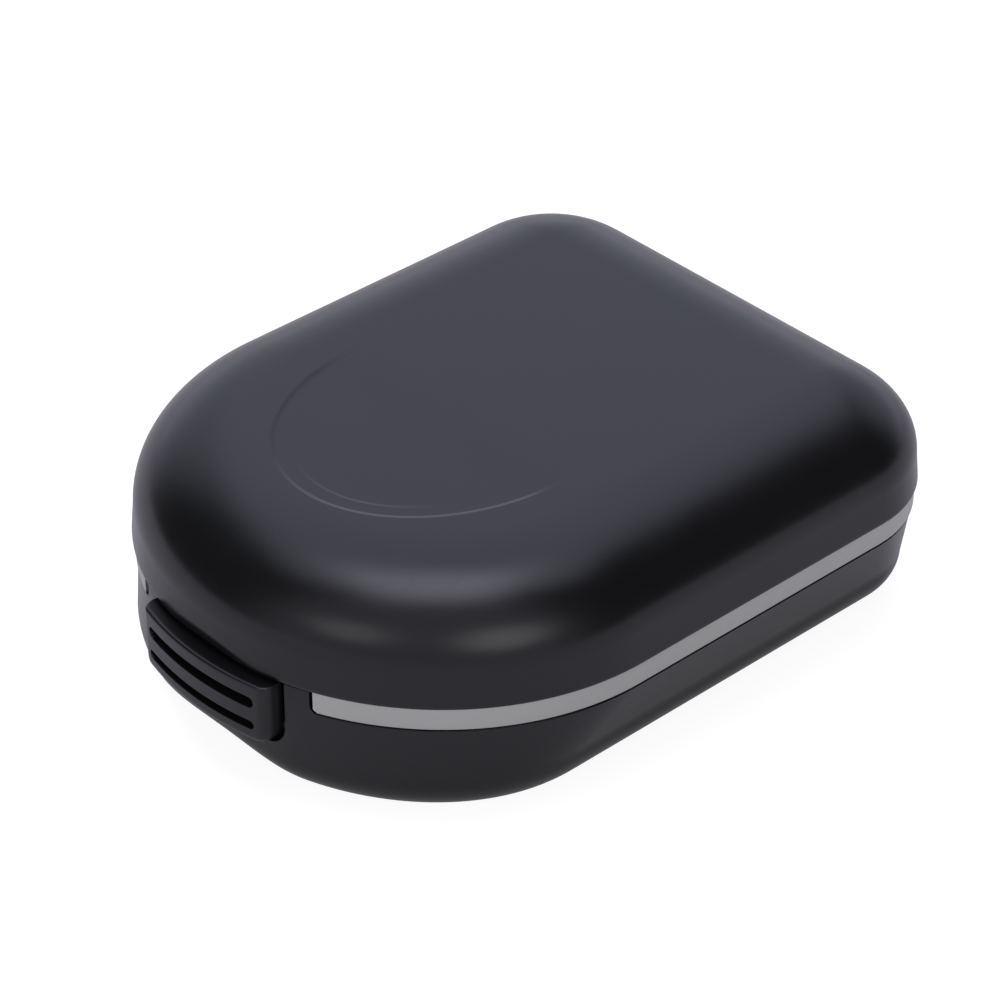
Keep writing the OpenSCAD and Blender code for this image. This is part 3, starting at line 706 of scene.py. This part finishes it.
# %% Pocket, window and bores of the base
POCKET_HALF_W, POCKET_LOW, POCKET_CORNER, POCKET_PAST = 10.7, 6.2, 2.6, 4
WINDOW_HALF_W, WINDOW_FRONT, WINDOW_BACK, WINDOW_LOW, WINDOW_TOP = 4.4, 1.1, 4.4, 6.6, 12.8
CUP_FRONT, PILOT_R, PILOT_L = 0.8, 0.75, 4


def pocket_outline(half_w, low, high, corner, steps=14):
    """The pocket seen from the front: round lower corners, open at the top."""
    side = [(half_w, high)]
    for i in range(steps + 1):
        t = math.pi / 2 * i / steps
        side.append((half_w - corner + corner * math.cos(t), low + corner - corner * math.sin(t)))
    return side + [(-x, z) for x, z in side[::-1]]


def nose_form(name, inset, top):
    """A solid of the plan from the table up to a height, for trimming to the nose's curve."""
    walls = [lid_ring(inset, z) for z in (0, top)]
    return wrap(name, [pole(0, 0, 0)] + walls + [pole(0, 0, top)])


pocket_front = pocket_outline(POCKET_HALF_W, POCKET_LOW, Z_LID + PAST, POCKET_CORNER)
pocket = prism("pocket", pocket_front, Y_FRONT - POCKET_PAST, LATCH_BACK, "Y")
combine(pocket, nose_form("floor_form", POCKET_FLOOR, HOUSING_TOP), "DIFFERENCE")
combine(base_skin, pocket, "DIFFERENCE")
window = box("window", (-WINDOW_HALF_W, Y_FRONT + WINDOW_FRONT, WINDOW_LOW),
             (WINDOW_HALF_W, Y_FRONT + WINDOW_BACK, WINDOW_TOP))
combine(base_skin, window, "DIFFERENCE")
for side in (-1, 1):
    cup_bore = along_nose("cup_bore", side * SPRING_X, SPRING_Z, CUP_R, CUP_FRONT, CUP_FLOOR)
    combine(base_skin, cup_bore, "DIFFERENCE")
    pilot = along_nose("pilot", side * SCREW_X, SCREW_Z, PILOT_R, COVER_FRONT - PILOT_L, COVER_FRONT + PAST)
    combine(base_skin, pilot, "DIFFERENCE")
smooth(base_skin, degrees=32)
settle(base_skin, "base", "base_plastic", black_shell, "base_shell")

# %% [markdown]
# ## Thumb piece
# The thumb piece follows the curve of the nose, rolls back at its foot, ends in a flat ledge on top and has
# two deep grip slots. It could be a block with slots cut out, but bevels fail on slots in a curved face. So a
# fine grid is laid on its front as heights over the nose's own curve, with close rows where the slots and
# edges are. Then the border is extruded back and trimmed to the curve of the pocket.

# %% Form of the thumb piece's front
THUMB_HALF_W, THUMB_LOW, THUMB_TOP, THUMB_BACK, THUMB_THIN = 10.2, 6.6, 14.83, 0.8, 0.1
THUMB_PROUD, THUMB_FOOT, THUMB_CORNER = 1.6, 0.9, 2.4
FOOT_ROLL, TOP_ROLL, SIDE_ROLL = 1.5, 0.3, 0.9
SLOTS, SLOT_HALF_L, SLOT_FLOOR = ((9.45, 0.5), (12.45, 0.65)), 8.7, -0.35
SLOT_EDGE, SLOT_BIAS = 0.12, 0.4


def nose_y(x, inset):
    """Depth of the nose's face at a place across the front."""
    half_w, depth = HALF_W - inset, NOSE - inset
    return Y_FRONT + NOSE - depth * math.sqrt(1 - (x / half_w) ** 2)


def slot_share(x, z):
    """1 in a slot, 0 on the face, with a soft edge between."""
    share = 0
    for middle, half_h in SLOTS:
        along = max(0, abs(x) - (SLOT_HALF_L - half_h))
        depth = half_h - math.hypot(along, z - middle)
        share = max(share, soft_step(depth / SLOT_EDGE + SLOT_BIAS))
    return share


def rolled(past, reach):
    """How far a quarter round has fallen away, from 0 where it starts to 1 at the end of its reach."""
    return 1 - math.sqrt(max(0, 1 - (max(0, past) / reach) ** 2))


def thumb_inset(x, z, half_w):
    """How far a place on the front lies behind the lid's face; proud is negative."""
    foot = (THUMB_PROUD + THUMB_FOOT) * rolled(THUMB_LOW + FOOT_ROLL - z, FOOT_ROLL)
    top = TOP_ROLL * rolled(z - THUMB_TOP + TOP_ROLL, TOP_ROLL)
    end = SIDE_ROLL * rolled(abs(x) - half_w + SIDE_ROLL, SIDE_ROLL)
    inset = min(foot + top + end - THUMB_PROUD, THUMB_BACK - THUMB_THIN)
    return inset + max(0, SLOT_FLOOR - inset) * slot_share(x, z)


def thumb_half_w(z):
    """Half the width at a height, which shrinks at the round lower corners."""
    drop = max(0, THUMB_LOW + THUMB_CORNER - z)
    return THUMB_HALF_W - THUMB_CORNER + math.sqrt(max(0, THUMB_CORNER ** 2 - drop ** 2))


print("thumb piece:", 2 * thumb_half_w(THUMB_TOP), "mm wide at the top")

# %% Lay the front of the thumb piece
# Closest step, widest step, and how far from a mark the steps start to widen.
LEVEL_STEPS, ROW_STEPS, SLOT_END = (0.05, 0.22, 0.2), (0.06, 0.4, 0.5), 0.3


def spaced(marks, fine, coarse, reach):
    """Places between the first and last mark, close together near every mark."""
    places, here = [], marks[0]
    while here < marks[-1] - fine / 2:
        places.append(here)
        near = min(abs(here - mark) for mark in marks)
        here += fine + (coarse - fine) * min(1, max(0, near - reach) / reach)
    return places + [marks[-1]]


slot_marks = [z for middle, half_h in SLOTS for z in (middle - half_h, middle + half_h)]
levels = spaced([THUMB_LOW] + slot_marks + [THUMB_TOP], *LEVEL_STEPS)
half_row = spaced([0, SLOT_HALF_L - SLOT_END, THUMB_HALF_W], *ROW_STEPS)
row = [-x for x in half_row[:0:-1]] + half_row
thumb_rows = []
for z in levels:
    half_w = thumb_half_w(z)
    across = [x * half_w / THUMB_HALF_W for x in row]
    thumb_rows.append([(x, nose_y(x, thumb_inset(x, z, half_w)), z) for x in across])
thumb = lay_grid("latch_button_skin", thumb_rows)
print("thumb face:", len(row), "by", len(levels))

# %% Sides and back of the thumb piece
BORDER_SHARES, BACK_SPARE, FORM_TOP = (0.1, 1), 0.5, 20
open_mesh(thumb)
bpy.ops.mesh.select_mode(type="EDGE")
bpy.ops.mesh.region_to_loop()
for share in BORDER_SHARES:
    bpy.ops.mesh.extrude_region_move()
    border = bmesh.from_edit_mesh(thumb.data)
    for point in border.verts:
        if point.select:
            point.co.y += share * (nose_y(point.co.x / MM, THUMB_BACK + BACK_SPARE) * MM - point.co.y)
    bmesh.update_edit_mesh(thumb.data)
bpy.ops.mesh.edge_face_add()
bpy.ops.mesh.select_mode(type="VERT")
close_mesh()
weld(thumb)
combine(thumb, nose_form("back_form", THUMB_BACK, FORM_TOP), "DIFFERENCE")
print("thumb piece trimmed:", len(thumb.data.vertices), "points")

# %% Spring seats, stem and shelf of the thumb piece
SEAT_R, SEAT_FLOOR, SEAT_END = 1.75, 1.1, 3
STEM_HALF_W, STEM_LOW, STEM_TOP, STEM_FRONT, STEM_PAST = 4, 7, 8.7, -0.3, 0.55
SHELF_BACK, SHELF_H, SHELF_SINK = 2.2, 1.1, 0.02
for side in (-1, 1):
    combine(thumb, along_nose("seat", side * SPRING_X, SPRING_Z, SEAT_R, SEAT_FLOOR, SEAT_END), "DIFFERENCE")
stem = box("stem", (-STEM_HALF_W, Y_FRONT + STEM_FRONT, STEM_LOW),
           (STEM_HALF_W, Y_FRONT + POCKET_BACK + STEM_PAST, STEM_TOP))
combine(thumb, stem, "UNION")
shelf_front, shelf_low, shelf_top = THUMB_BACK - THUMB_THIN, THUMB_TOP - SHELF_H, THUMB_TOP - SHELF_SINK
shelf = run_section("shelf", [(shelf_front, shelf_low), (shelf_front, shelf_top), (SHELF_BACK, shelf_top),
                              (SHELF_BACK, shelf_low)])
shelf_room = box("shelf_room", (-SLOT_HALF_L, Y_FRONT, ROOM_LOW), (SLOT_HALF_L, LATCH_BACK, ROOM_TOP))
combine(shelf, shelf_room, "INTERSECT")
combine(thumb, shelf, "UNION")
smooth(thumb, degrees=50)
settle(thumb, "latch", "latch_plastic", black_latch, "latch_button")

# %% [markdown]
# ## Hook, cover and screws
# The hook behind the thumb piece and the cover over the latch are right in the CAD, but moulded edges are
# never sharp. They could be modelled again, but a welded copy with a small bevel keeps every fit. The screws
# are pan-head self-tappers with a cross recess. Their threads sit in the plastic and never show, so none are
# cut.

# %% Soften the edges of hook and cover
FLAT_DEGREES, HOOK_EDGE, COVER_EDGE = 0.5, 0.1, 0.12


def own_copy(node, name):
    """A new piece with its own copy of a CAD node's mesh."""
    piece = bpy.data.objects.new(name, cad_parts[node].data.copy())
    piece.data.name = name
    bpy.context.collection.objects.link(piece)
    return piece


def softened_copy(node, name, width):
    piece = own_copy(node, name)
    open_mesh(piece)
    bpy.ops.mesh.remove_doubles(threshold=WELD_GAP * MM)
    bpy.ops.mesh.dissolve_limited(angle_limit=math.radians(FLAT_DEGREES))
    close_mesh()
    ease_edges(piece, width, segments=2, degrees=40)
    smooth(piece, degrees=40)
    return piece


hook = softened_copy("latch_hook", "latch_hook_skin", HOOK_EDGE)
settle(hook, "latch", "latch_plastic", black_latch, "latch_hook")
cover = softened_copy("latch_cover", "latch_cover_skin", COVER_EDGE)
settle(cover, "base", "base_plastic", black_shell, "latch_cover")

# %% Cover screws
COVER_BACK, HEAD_R, HEAD_H, HEAD_EDGE = 10.45, 1.7, 1.1, 0.35
SHANK_R, SHANK_L, SHANK_ROOT = 0.85, 4.0, 0.3
CROSS_HALF_L, CROSS_HALF_W, CROSS_FLOOR = 0.95, 0.2, 0.45


def cover_screw(name, x):
    head = along_nose(name, x, SCREW_Z, HEAD_R, COVER_BACK, COVER_BACK + HEAD_H)
    ease_edges(head, HEAD_EDGE, segments=4, degrees=60)
    deep, top = Y_FRONT + COVER_BACK + CROSS_FLOOR, Y_FRONT + COVER_BACK + HEAD_H + PAST
    cross = box("cross", (x - CROSS_HALF_L, deep, SCREW_Z - CROSS_HALF_W),
                (x + CROSS_HALF_L, top, SCREW_Z + CROSS_HALF_W))
    upright = box("upright", (x - CROSS_HALF_W, deep, SCREW_Z - CROSS_HALF_L),
                  (x + CROSS_HALF_W, top, SCREW_Z + CROSS_HALF_L))
    combine(cross, upright, "UNION")
    combine(head, cross, "DIFFERENCE")
    shank = along_nose("shank", x, SCREW_Z, SHANK_R, COVER_BACK - SHANK_L, COVER_BACK + SHANK_ROOT)
    return combine(head, shank, "UNION")


screws = cover_screw("cover_screws_skin", -SCREW_X)
combine(screws, cover_screw("second", SCREW_X), "UNION")
smooth(screws, degrees=35)
settle(screws, "base", "steel", bright_steel, "cover_screws")

# %% [markdown]
# ## Foam
# The foam block has two beds for the aids and a well for spare batteries. A thin sheet lies under it, and
# another block fills the roof of the lid. Foam is cut: flat faces and soft edges that give a little. A bevel
# would look hard, so each block is turned into an even skin of small voxels and relaxed.

# %% Foam block in the base
FOAM_FRONT, FOAM_LOW, FOAM_TOP, FOAM_GAP = Y_FRONT + 12.15, 3.5, 11.5, 0.6
FRONT_CUT = (-40, -60, -1), (40, FOAM_FRONT, 30)
# Each hole has its middle, width, length and corner radius.
HOLES = ((-14, -4.1, 18, 40, 8.5), (14, -4.1, 18, 40, 8.5), (0, 27.4, 44, 13, 5))


def relax(piece, voxel, rounds):
    use_modifier(piece, "REMESH", mode="VOXEL", voxel_size=voxel * MM)
    use_modifier(piece, "SMOOTH", factor=0.5, iterations=rounds)
    smooth(piece, degrees=180)


def well_outline(x, y, w, l, r, steps=10):
    points = []
    for quarter, (sx, sy) in enumerate(((1, 1), (-1, 1), (-1, -1), (1, -1))):
        for i in range(steps + 1):
            t = math.pi / 2 * (quarter + i / steps)
            points.append((x + sx * (w / 2 - r) + r * math.cos(t), y + sy * (l / 2 - r) + r * math.sin(t)))
    return points


def cut_front(piece):
    """Leaves room for the latch housing."""
    return combine(piece, box("front", *FRONT_CUT), "DIFFERENCE")


bed_foam = cut_front(prism("base_foam_block", foot_outline(BASE_WALL + FOAM_GAP), FOAM_LOW, FOAM_TOP, "Z"))
for hole in HOLES:
    combine(bed_foam, prism("hole", well_outline(*hole), FOAM_LOW - PAST, FOAM_TOP + PAST, "Z"), "DIFFERENCE")
relax(bed_foam, voxel=0.42, rounds=6)
settle(bed_foam, "base", "foam", charcoal_foam, "base_foam")

# %% Sheet under the foam block
PAD_GAP = 0.3
pad = cut_front(prism("floor_pad_sheet", foot_outline(FOOT_RUN + PAD_GAP), BASE_FLOOR, FOAM_LOW, "Z"))
relax(pad, voxel=0.4, rounds=4)
settle(pad, "base", "foam", grey_sheet, "floor_pad")

# %% Foam in the roof of the lid
ROOF_FOAM_H, ROOF_FOAM_STEPS = 4.8, 12
roof_run, roof_rise, roof_low = ROOF_RUN - LID_WALL, Z_TOP - Z_ROOF - LID_WALL, ceiling - ROOF_FOAM_H
roof_start = math.asin((roof_low - Z_ROOF) / roof_rise)
roof_rings = []
for k in range(ROOF_FOAM_STEPS + 1):
    t = roof_start + (math.pi / 2 - roof_start) * k / ROOF_FOAM_STEPS
    inset = LID_WALL + FOAM_GAP + LID_DRAFT + roof_run * (1 - math.cos(t))
    roof_rings.append(lid_ring(inset, Z_ROOF + roof_rise * math.sin(t)))
roof_foam = wrap("lid_foam_block", [pole(0, 0, roof_low)] + roof_rings + [pole(0, 0, ceiling)])
relax(roof_foam, voxel=0.5, rounds=6)
settle(roof_foam, "lid", "foam", charcoal_foam, "lid_foam")

# %% [markdown]
# ## Steel parts
# The hinge pin keeps its CAD solid, which is exact, and only takes the drawn-steel finish. The springs belong
# to the base and can't shorten when the thumb piece is pressed. New coils could be swept along a helix, but
# the CAD's are right, so a copy is drawn at the pressed length, and the seats hide the gap at rest.

# %% Hinge pin and springs
SPRING_BACK, SPRING_PRESSED = -37.1, 0.652
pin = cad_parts["hinge_pin"]
pin.data.materials.clear()
pin.data.materials.append(bright_steel)
springs = own_copy("latch_springs", "latch_springs_pressed")
for point in springs.data.vertices:
    point.co.y = SPRING_BACK * MM + (point.co.y - SPRING_BACK * MM) * SPRING_PRESSED
springs.data.update()
settle(springs, "base", "steel", bright_steel, "latch_springs")
print(pin.name, "and", springs.name, "take", bright_steel.name)

# %% [markdown]
# ## Camera
# The camera stands where the photo was taken: its turn, height, distance, focal length and picture centre
# were fitted to the edges of the case. A picture centre beside the middle becomes a lens shift, which moves
# the picture without turning the camera.

# %% Camera
BEARING, HEIGHT_ANGLE, DISTANCE = 47.556, 35.48, 430.134
AIM = Vector((0, 0, 12)) * MM
FOCAL_PX, CENTRE_X, CENTRE_Y, IMAGE_PX, SENSOR = 3817.349, 493.099, 514.644, 1000, 36


def heading(azimuth, elevation=0):
    """Direction by its turn from the camera's bearing and its height, in degrees."""
    turn, rise = math.radians(BEARING + azimuth), math.radians(elevation)
    return Vector((math.sin(turn) * math.cos(rise), -math.cos(turn) * math.cos(rise), math.sin(rise)))


back = heading(0, HEIGHT_ANGLE)
camera_data = bpy.data.cameras.new("camera")
camera_data.sensor_fit = "HORIZONTAL"
camera_data.sensor_width = SENSOR
camera_data.lens = FOCAL_PX / IMAGE_PX * SENSOR
camera_data.shift_x = (IMAGE_PX / 2 - CENTRE_X) / IMAGE_PX
camera_data.shift_y = (CENTRE_Y - IMAGE_PX / 2) / IMAGE_PX
camera_data.clip_start = 0.01
camera = bpy.data.objects.new("camera", camera_data)
bpy.context.collection.objects.link(camera)
camera.location = AIM + back * DISTANCE * MM
camera.rotation_euler = (-back).to_track_quat("-Z", "Y").to_euler()
bpy.context.scene.camera = camera
bpy.context.scene.view_settings.view_transform = "Standard"
print("camera at", [round(c, 4) for c in camera.location], "lens", round(camera_data.lens, 2))

# %% [markdown]
# ## Room
# Black satin plastic shows its surroundings more than its own colour. Behind the case stands a bright wall
# with a brighter skirting, over it hang a panel that reaches far back and a soft box, in front is a dimmer
# wall, and two small lamps stand beside the camera. The sides stay dark. Real panels could be modelled, but a
# world that is worked out by direction gives softer edges. It turns with the camera's bearing.

# %% Soft edges by direction
world = bpy.data.worlds.new("studio")
bpy.context.scene.world = world
world.use_nodes = True
sky = world.node_tree
sky.nodes.clear()
LEAST_HEIGHT = 0.05
direction = add(sky, "TexCoord").outputs["Generated"]
height = add(sky, "SeparateXYZ", {0: direction}).outputs["Z"]
above = add(sky, "Math", {0: height, 1: 0.0}, operation="GREATER_THAN").outputs["Value"]
flat = add(sky, "VectorMath", {0: direction, 1: (1, 1, 0)}, operation="MULTIPLY").outputs["Vector"]
# The level direction has no height, and the overhead one is a place on a ceiling at a height of 1.
level = add(sky, "VectorMath", {0: flat}, operation="NORMALIZE").outputs["Vector"]
high = add(sky, "Math", {0: height, 1: LEAST_HEIGHT}, operation="MAXIMUM").outputs["Value"]
overhead = add(sky, "VectorMath", {0: direction, 1: high}, operation="DIVIDE").outputs["Vector"]


def soft_edge(vector, axis, start, full, within=1.0):
    """Nothing before the start and all of a share past the full mark, along an axis of a direction."""
    along = add(sky, "VectorMath", {0: vector, 1: axis}, operation="DOT_PRODUCT").outputs["Value"]
    return add(sky, "MapRange", {"Value": along, "From Min": start, "From Max": full, "To Max": within},
               interpolation_type="SMOOTHSTEP").outputs["Result"]


def soft_strip(vector, axis, middle, outer, inner, within):
    """A strip with a soft edge to either side of its middle line."""
    one_side = soft_edge(vector, axis, middle - outer, middle - inner, within)
    return soft_edge(vector, axis, middle + outer, middle + inner, one_side)


def small_lamp(azimuth, elevation, outer, inner):
    """A round lamp by its place and by the angles from its middle to its outer and inner edge, in degrees."""
    start, full = math.cos(math.radians(outer)), math.cos(math.radians(inner))
    return soft_edge(direction, heading(azimuth, elevation), start, full)


print("directions:", len(sky.nodes), "nodes")

# %% Walls, panel, soft box and lamps
# An edge has its start and its full mark, a strip its middle and its outer and inner edge.
WALL_TURN, WALL_SIDES, WALL_TOP = 170, (0.36, 0.85), (0.9, 0.5)
SKIRTING_SIDES, SKIRTING_TOP = (0.3, 0.8), (0.34, 0.02)
FRONT_TURN, FRONT_SIDES = -8, (0.33, 0.7)
PANEL_SIDES, PANEL_FRONT = (0, 0.81, 0.41), (0.19, -0.11)
BOX_SIDES, BOX_ENDS = (-0.035, 0.39, 0.14), (0.02, 0.36, 0.06)
UP, SIDEWAYS, AHEAD, BEHIND = (0, 0, 1), heading(90), heading(0), heading(180)
back_wall = soft_edge(level, heading(WALL_TURN), *WALL_SIDES, soft_edge(direction, UP, *WALL_TOP))
skirting = soft_edge(level, heading(WALL_TURN), *SKIRTING_SIDES, soft_edge(direction, UP, *SKIRTING_TOP))
front_wall = soft_edge(level, heading(FRONT_TURN), *FRONT_SIDES)
panel = soft_strip(overhead, SIDEWAYS, *PANEL_SIDES, within=above)
panel = soft_edge(overhead, AHEAD, *PANEL_FRONT, within=panel)
# The panel is dimmer far behind the case, where it is seen low.
panel_level = add(sky, "MapRange", {"Value": height, "From Min": 0.42, "From Max": 0.9, "To Min": 0.08},
                  interpolation_type="SMOOTHSTEP").outputs["Result"]
soft_box = soft_strip(direction, SIDEWAYS, *BOX_SIDES, within=above)
soft_box = soft_strip(direction, BEHIND, *BOX_ENDS, within=soft_box)
lamp_left = small_lamp(-36, 31, outer=17, inner=4)
lamp_right = small_lamp(23, 30, outer=20, inner=7)
print("room:", len(sky.nodes), "nodes")

# %% Light of the room
COOL, WARM, PLAIN = (0.97, 1.0, 1.22), (1.0, 0.99, 0.98), (0.95, 1.0, 1.02)
BOX_TINT, FRONT_TINT, AMBIENT = (1.02, 1.0, 1.16), (1.02, 1.0, 1.2), 0.055
light = tuple(AMBIENT * c for c in PLAIN)
for share, strength, tint in ((back_wall, 0.58, COOL), (skirting, 0.2, COOL), (panel, panel_level, COOL),
                              (soft_box, 2.1, BOX_TINT), (front_wall, 0.42, FRONT_TINT),
                              (lamp_left, 0.9, WARM), (lamp_right, 1.4, WARM)):
    amount = add(sky, "Math", {0: share, 1: strength}, operation="MULTIPLY").outputs["Value"]
    light = add(sky, "VectorMath", {0: tint, 1: amount, 2: light},
                operation="MULTIPLY_ADD").outputs["Vector"]
room_light = add(sky, "Background", {"Color": light, "Strength": 1.0})
white = add(sky, "Background", {"Color": (1, 1, 1, 1), "Strength": 1.0})
camera_ray = add(sky, "LightPath").outputs["Is Camera Ray"]
choice = add(sky, "MixShader", {0: camera_ray, 1: room_light.outputs[0], 2: white.outputs[0]})
add(sky, "OutputWorld", {"Surface": choice.outputs[0]})
print("room light:", len(sky.nodes), "nodes, white to the camera")

# %% [markdown]
# ## Table and fill lamps
# The case stands on a white table. A white floor under strong lamps would throw white light up the black
# walls. So the material goes by the kind of ray: to the camera it is nearly white by itself and still takes
# the shadow of the case, and to the case it is a mid tone. Three large lamps light the matt colours and stay
# out of reflections.

# %% Table
TABLE_SIZE = 3
TONE_TO_CASE, TONE_TO_CAMERA = (0.36, 0.34, 0.375, 1), (0.2, 0.2, 0.2, 1)
LIFT, LIFT_MIRRORED, LIFT_SEEN = 0.14, 0.04, 0.76
start_clean()
bpy.ops.mesh.primitive_plane_add(size=TABLE_SIZE)
table = bpy.context.active_object
table.name = "table"
table_finish, tree = new_finish("white_table")
path = add(tree, "LightPath").outputs
seen = add(tree, "Math",
           {0: path["Is Camera Ray"], 1: path["Is Transmission Ray"]}, operation="MAXIMUM").outputs["Value"]
tone = add(tree, "Mix", {"Factor": seen, "A": TONE_TO_CASE, "B": TONE_TO_CAMERA}, data_type="RGBA")
matt = add(tree, "BsdfDiffuse", {"Color": tone.outputs["Result"]})
mirrored = add(tree, "Math",
               {0: path["Is Glossy Ray"], 1: LIFT_MIRRORED, 2: LIFT}, operation="MULTIPLY_ADD")
lift = add(tree, "Math", {0: seen, 1: LIFT_SEEN, 2: mirrored.outputs["Value"]}, operation="MULTIPLY_ADD")
own_light = add(tree, "Emission", {"Color": (1, 1, 1, 1), "Strength": lift.outputs["Value"]})
both = add(tree, "AddShader", {0: matt.outputs[0], 1: own_light.outputs[0]})
table.data.materials.append(close_finish(table_finish, both))

# %% Fill lamps
LAMP_REACH, LAMP_SIZE = 0.8, 0.5


def fill_lamp(name, azimuth, elevation, power):
    """A large soft lamp that lights matt faces and stays out of reflections."""
    data = bpy.data.lights.new(name, "AREA")
    data.shape, data.size, data.energy = "DISK", LAMP_SIZE, power
    lamp = bpy.data.objects.new(name, data)
    bpy.context.collection.objects.link(lamp)
    toward = heading(azimuth, elevation)
    lamp.location = AIM + toward * LAMP_REACH
    lamp.rotation_euler = (-toward).to_track_quat("-Z", "Y").to_euler()
    lamp.visible_glossy = False
    print(name, "at", [round(c, 2) for c in lamp.location], "with", power, "W")


fill_lamp("fill_right", 70, 12, power=2.05)
fill_lamp("fill_left", -50, 12, power=2.5)
fill_lamp("fill_back", -145, 55, power=2.2)
